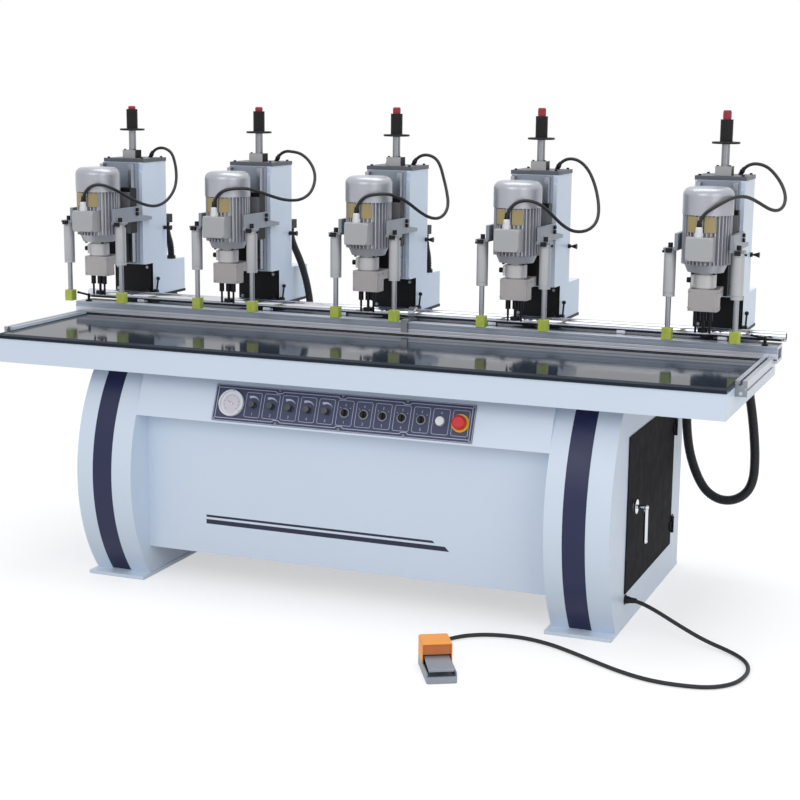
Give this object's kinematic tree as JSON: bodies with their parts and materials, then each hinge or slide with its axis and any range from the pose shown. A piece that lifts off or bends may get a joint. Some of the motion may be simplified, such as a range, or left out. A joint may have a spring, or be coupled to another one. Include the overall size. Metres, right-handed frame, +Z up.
{
  "type": "hinge boring machine",
  "caption": "Floor-standing multi-head hinge boring machine: curved-leg bench with dark table, fence, boring heads on rear columns, control console and foot pedal.",
  "frame": {"origin": "centre of the plan of the machine without its pedal and pedal cable, on the floor", "axes": "+X along the table to the right of a person at the console, +Y to the rear, +Z up"},
  "size_m": [2.7811, 1.6214, 1.66],
  "materials": {
    "white_paint": "satin",
    "black_paint": "satin",
    "dark_top": "polished",
    "panel_blue": "satin",
    "aluminium": "brushed",
    "brushed_steel": "brushed",
    "chrome": "polished",
    "motor_grey": "painted",
    "black_plastic": "matt",
    "white_plastic": "gloss",
    "red_plastic": "gloss",
    "pedal_orange": "painted",
    "pedal_grey": "painted",
    "cable_black": "matt",
    "conduit_black": "matt"
  },
  "bodies": {
    "bench": {"table_frame": "white_paint", "table_top": "dark_top", "left_pedestal": "white_paint", "right_pedestal": "white_paint", "front_body": "white_paint", "control_panel": "panel_blue", "rear_beam": "white_paint", "fence": "aluminium", "pedal_base": "pedal_orange", "pedal_cable": "cable_black", "motor_cables": "cable_black", "conduit_hoses": "conduit_black"},
    "door": {"cabinet_door": "black_paint"},
    "handle": {"door_handle": "chrome"},
    "start_button": {"start_button": "white_plastic"},
    "emergency_stop": {"emergency_stop": "red_plastic"},
    "stop_left": {"fence_stop_left": "black_paint"},
    "stop_middle": {"fence_stop_middle": "brushed_steel"},
    "stop_right": {"fence_stop_right": "black_paint"},
    "treadle": {"pedal_treadle": "pedal_grey"},
    "regulator_1": {"regulator_1": "black_plastic"},
    "regulator_2": {"regulator_2": "black_plastic"},
    "regulator_3": {"regulator_3": "black_plastic"},
    "regulator_4": {"regulator_4": "black_plastic"},
    "regulator_5": {"regulator_5": "black_plastic"},
    "selector_1": {"selector_1": "black_plastic"},
    "selector_2": {"selector_2": "black_plastic"},
    "selector_3": {"selector_3": "black_plastic"},
    "selector_4": {"selector_4": "black_plastic"},
    "selector_5": {"selector_5": "black_plastic"},
    "carriage_1": {"column_1": "white_paint"},
    "feed_1": {"drill_head_1": "motor_grey"},
    "centre_1": {"centre_spindle_1": "brushed_steel"},
    "left_1": {"left_spindle_1": "brushed_steel"},
    "right_1": {"right_spindle_1": "brushed_steel"},
    "clamp_1": {"clamp_1": "brushed_steel"},
    "carriage_2": {"column_2": "white_paint"},
    "feed_2": {"drill_head_2": "motor_grey"},
    "centre_2": {"centre_spindle_2": "brushed_steel"},
    "left_2": {"left_spindle_2": "brushed_steel"},
    "right_2": {"right_spindle_2": "brushed_steel"},
    "clamp_2": {"clamp_2": "brushed_steel"},
    "carriage_3": {"column_3": "white_paint"},
    "feed_3": {"drill_head_3": "motor_grey"},
    "centre_3": {"centre_spindle_3": "brushed_steel"},
    "left_3": {"left_spindle_3": "brushed_steel"},
    "right_3": {"right_spindle_3": "brushed_steel"},
    "clamp_3": {"clamp_3": "brushed_steel"},
    "carriage_4": {"column_4": "white_paint"},
    "feed_4": {"drill_head_4": "motor_grey"},
    "centre_4": {"centre_spindle_4": "brushed_steel"},
    "left_4": {"left_spindle_4": "brushed_steel"},
    "right_4": {"right_spindle_4": "brushed_steel"},
    "clamp_4": {"clamp_4": "brushed_steel"},
    "carriage_5": {"column_5": "white_paint"},
    "feed_5": {"drill_head_5": "motor_grey"},
    "centre_5": {"centre_spindle_5": "brushed_steel"},
    "left_5": {"left_spindle_5": "brushed_steel"},
    "right_5": {"right_spindle_5": "brushed_steel"},
    "clamp_5": {"clamp_5": "brushed_steel"}
  },
  "joints": [
    {"name": "door_hinge", "type": "hinge", "parent": "bench", "child": "door", "pos_m": [0.9665, 0.331, 0.366], "axis": [0, 0, 1], "range_deg": [0, 90]},
    {"name": "handle_turn", "type": "hinge", "parent": "door", "child": "handle", "pos_m": [0.98, -0.249, 0.39], "axis": [1, 0, 0], "range_deg": [0, 90]},
    {"name": "start_press", "type": "slide", "parent": "bench", "child": "start_button", "axis": [0, 0.9272, -0.3745], "range_m": [0, 0.004], "stiffness_N_per_m": 400, "springref_m": -0.004},
    {"name": "stop_press", "type": "slide", "parent": "bench", "child": "emergency_stop", "axis": [0, 0.9272, -0.3745], "range_m": [0, 0.006]},
    {"name": "left_stop_slide", "type": "slide", "parent": "bench", "child": "stop_left", "axis": [1, 0, 0], "range_m": [0, 0.08]},
    {"name": "right_stop_slide", "type": "slide", "parent": "bench", "child": "stop_right", "axis": [1, 0, 0], "range_m": [-0.08, 0.03]},
    {"name": "middle_stop_flip", "type": "hinge", "parent": "bench", "child": "stop_middle", "pos_m": [0.025, 0.151, 0.92], "axis": [-1, 0, 0], "range_deg": [0, 100]},
    {"name": "treadle_press", "type": "hinge", "parent": "bench", "child": "treadle", "pos_m": [0.5164, -0.90781, 0.05], "axis": [0.8746, 0.4848, 0], "range_deg": [0, 7], "stiffness_Nm_per_rad": 12, "springref_deg": -6.88},
    {"name": "regulator_1_turn", "type": "hinge", "parent": "bench", "child": "regulator_1", "pos_m": [-0.3046, -0.48279, 0.66491], "axis": [0, -0.9272, 0.3745], "range_deg": [-135, 135]},
    {"name": "regulator_2_turn", "type": "hinge", "parent": "bench", "child": "regulator_2", "pos_m": [-0.237, -0.48279, 0.66491], "axis": [0, -0.9272, 0.3745], "range_deg": [-135, 135]},
    {"name": "regulator_3_turn", "type": "hinge", "parent": "bench", "child": "regulator_3", "pos_m": [-0.1694, -0.48279, 0.66491], "axis": [0, -0.9272, 0.3745], "range_deg": [-135, 135]},
    {"name": "regulator_4_turn", "type": "hinge", "parent": "bench", "child": "regulator_4", "pos_m": [-0.1018, -0.48279, 0.66491], "axis": [0, -0.9272, 0.3745], "range_deg": [-135, 135]},
    {"name": "regulator_5_turn", "type": "hinge", "parent": "bench", "child": "regulator_5", "pos_m": [-0.0342, -0.48279, 0.66491], "axis": [0, -0.9272, 0.3745], "range_deg": [-135, 135]},
    {"name": "selector_1_turn", "type": "hinge", "parent": "bench", "child": "selector_1", "pos_m": [0.0334, -0.48279, 0.66491], "axis": [0, -0.9272, 0.3745], "range_deg": [-45, 45]},
    {"name": "selector_2_turn", "type": "hinge", "parent": "bench", "child": "selector_2", "pos_m": [0.101, -0.48279, 0.66491], "axis": [0, -0.9272, 0.3745], "range_deg": [-45, 45]},
    {"name": "selector_3_turn", "type": "hinge", "parent": "bench", "child": "selector_3", "pos_m": [0.1686, -0.48279, 0.66491], "axis": [0, -0.9272, 0.3745], "range_deg": [-45, 45]},
    {"name": "selector_4_turn", "type": "hinge", "parent": "bench", "child": "selector_4", "pos_m": [0.2362, -0.48279, 0.66491], "axis": [0, -0.9272, 0.3745], "range_deg": [-45, 45]},
    {"name": "selector_5_turn", "type": "hinge", "parent": "bench", "child": "selector_5", "pos_m": [0.3038, -0.48279, 0.66491], "axis": [0, -0.9272, 0.3745], "range_deg": [-45, 45]},
    {"name": "traverse_1", "type": "slide", "parent": "bench", "child": "carriage_1", "axis": [1, 0, 0], "range_m": [0, 0.06], "deforming": ["motor_cables"]},
    {"name": "feed_1", "type": "slide", "parent": "carriage_1", "child": "feed_1", "axis": [0, 0, -1], "range_m": [0, 0.07], "deforming": ["motor_cables"]},
    {"name": "centre_spin_1", "type": "hinge", "parent": "feed_1", "child": "centre_1", "pos_m": [-1.222, 0.047, 1], "axis": [0, 0, 1], "continuous": true},
    {"name": "left_spin_1", "type": "hinge", "parent": "feed_1", "child": "left_1", "pos_m": [-1.246, 0.03838, 1], "axis": [0, 0, 1], "continuous": true},
    {"name": "right_spin_1", "type": "hinge", "parent": "feed_1", "child": "right_1", "pos_m": [-1.198, 0.03838, 1], "axis": [0, 0, 1], "continuous": true},
    {"name": "clamp_1", "type": "slide", "parent": "carriage_1", "child": "clamp_1", "axis": [0, 0, -1], "range_m": [0, 0.045]},
    {"name": "traverse_2", "type": "slide", "parent": "bench", "child": "carriage_2", "axis": [1, 0, 0], "range_m": [-0.06, 0.06], "deforming": ["motor_cables", "conduit_hoses"]},
    {"name": "feed_2", "type": "slide", "parent": "carriage_2", "child": "feed_2", "axis": [0, 0, -1], "range_m": [0, 0.07], "deforming": ["motor_cables"]},
    {"name": "centre_spin_2", "type": "hinge", "parent": "feed_2", "child": "centre_2", "pos_m": [-0.67, 0.047, 1], "axis": [0, 0, 1], "continuous": true},
    {"name": "left_spin_2", "type": "hinge", "parent": "feed_2", "child": "left_2", "pos_m": [-0.694, 0.03838, 1], "axis": [0, 0, 1], "continuous": true},
    {"name": "right_spin_2", "type": "hinge", "parent": "feed_2", "child": "right_2", "pos_m": [-0.646, 0.03838, 1], "axis": [0, 0, 1], "continuous": true},
    {"name": "clamp_2", "type": "slide", "parent": "carriage_2", "child": "clamp_2", "axis": [0, 0, -1], "range_m": [0, 0.045]},
    {"name": "traverse_3", "type": "slide", "parent": "bench", "child": "carriage_3", "axis": [1, 0, 0], "range_m": [-0.06, 0.06], "deforming": ["motor_cables"]},
    {"name": "feed_3", "type": "slide", "parent": "carriage_3", "child": "feed_3", "axis": [0, 0, -1], "range_m": [0, 0.07], "deforming": ["motor_cables"]},
    {"name": "centre_spin_3", "type": "hinge", "parent": "feed_3", "child": "centre_3", "pos_m": [-0.108, 0.047, 1], "axis": [0, 0, 1], "continuous": true},
    {"name": "left_spin_3", "type": "hinge", "parent": "feed_3", "child": "left_3", "pos_m": [-0.132, 0.03838, 1], "axis": [0, 0, 1], "continuous": true},
    {"name": "right_spin_3", "type": "hinge", "parent": "feed_3", "child": "right_3", "pos_m": [-0.084, 0.03838, 1], "axis": [0, 0, 1], "continuous": true},
    {"name": "clamp_3", "type": "slide", "parent": "carriage_3", "child": "clamp_3", "axis": [0, 0, -1], "range_m": [0, 0.045]},
    {"name": "traverse_4", "type": "slide", "parent": "bench", "child": "carriage_4", "axis": [1, 0, 0], "range_m": [-0.06, 0.06], "deforming": ["motor_cables"]},
    {"name": "feed_4", "type": "slide", "parent": "carriage_4", "child": "feed_4", "axis": [0, 0, -1], "range_m": [0, 0.07], "deforming": ["motor_cables"]},
    {"name": "centre_spin_4", "type": "hinge", "parent": "feed_4", "child": "centre_4", "pos_m": [0.446, 0.047, 1], "axis": [0, 0, 1], "continuous": true},
    {"name": "left_spin_4", "type": "hinge", "parent": "feed_4", "child": "left_4", "pos_m": [0.422, 0.03838, 1], "axis": [0, 0, 1], "continuous": true},
    {"name": "right_spin_4", "type": "hinge", "parent": "feed_4", "child": "right_4", "pos_m": [0.47, 0.03838, 1], "axis": [0, 0, 1], "continuous": true},
    {"name": "clamp_4", "type": "slide", "parent": "carriage_4", "child": "clamp_4", "axis": [0, 0, -1], "range_m": [0, 0.045]},
    {"name": "traverse_5", "type": "slide", "parent": "bench", "child": "carriage_5", "axis": [1, 0, 0], "range_m": [-0.06, 0.06], "deforming": ["motor_cables"]},
    {"name": "feed_5", "type": "slide", "parent": "carriage_5", "child": "feed_5", "axis": [0, 0, -1], "range_m": [0, 0.07], "deforming": ["motor_cables"]},
    {"name": "centre_spin_5", "type": "hinge", "parent": "feed_5", "child": "centre_5", "pos_m": [1.102, 0.047, 1], "axis": [0, 0, 1], "continuous": true},
    {"name": "left_spin_5", "type": "hinge", "parent": "feed_5", "child": "left_5", "pos_m": [1.078, 0.03838, 1], "axis": [0, 0, 1], "continuous": true},
    {"name": "right_spin_5", "type": "hinge", "parent": "feed_5", "child": "right_5", "pos_m": [1.126, 0.03838, 1], "axis": [0, 0, 1], "continuous": true},
    {"name": "clamp_5", "type": "slide", "parent": "carriage_5", "child": "clamp_5", "axis": [0, 0, -1], "range_m": [0, 0.045]}
  ],
  "couplings": [
    {"joint": "left_spin_1", "follows": "centre_spin_1", "ratio": -1},
    {"joint": "right_spin_1", "follows": "centre_spin_1", "ratio": -1},
    {"joint": "left_spin_2", "follows": "centre_spin_2", "ratio": -1},
    {"joint": "right_spin_2", "follows": "centre_spin_2", "ratio": -1},
    {"joint": "left_spin_3", "follows": "centre_spin_3", "ratio": -1},
    {"joint": "right_spin_3", "follows": "centre_spin_3", "ratio": -1},
    {"joint": "left_spin_4", "follows": "centre_spin_4", "ratio": -1},
    {"joint": "right_spin_4", "follows": "centre_spin_4", "ratio": -1},
    {"joint": "left_spin_5", "follows": "centre_spin_5", "ratio": -1},
    {"joint": "right_spin_5", "follows": "centre_spin_5", "ratio": -1}
  ]
}
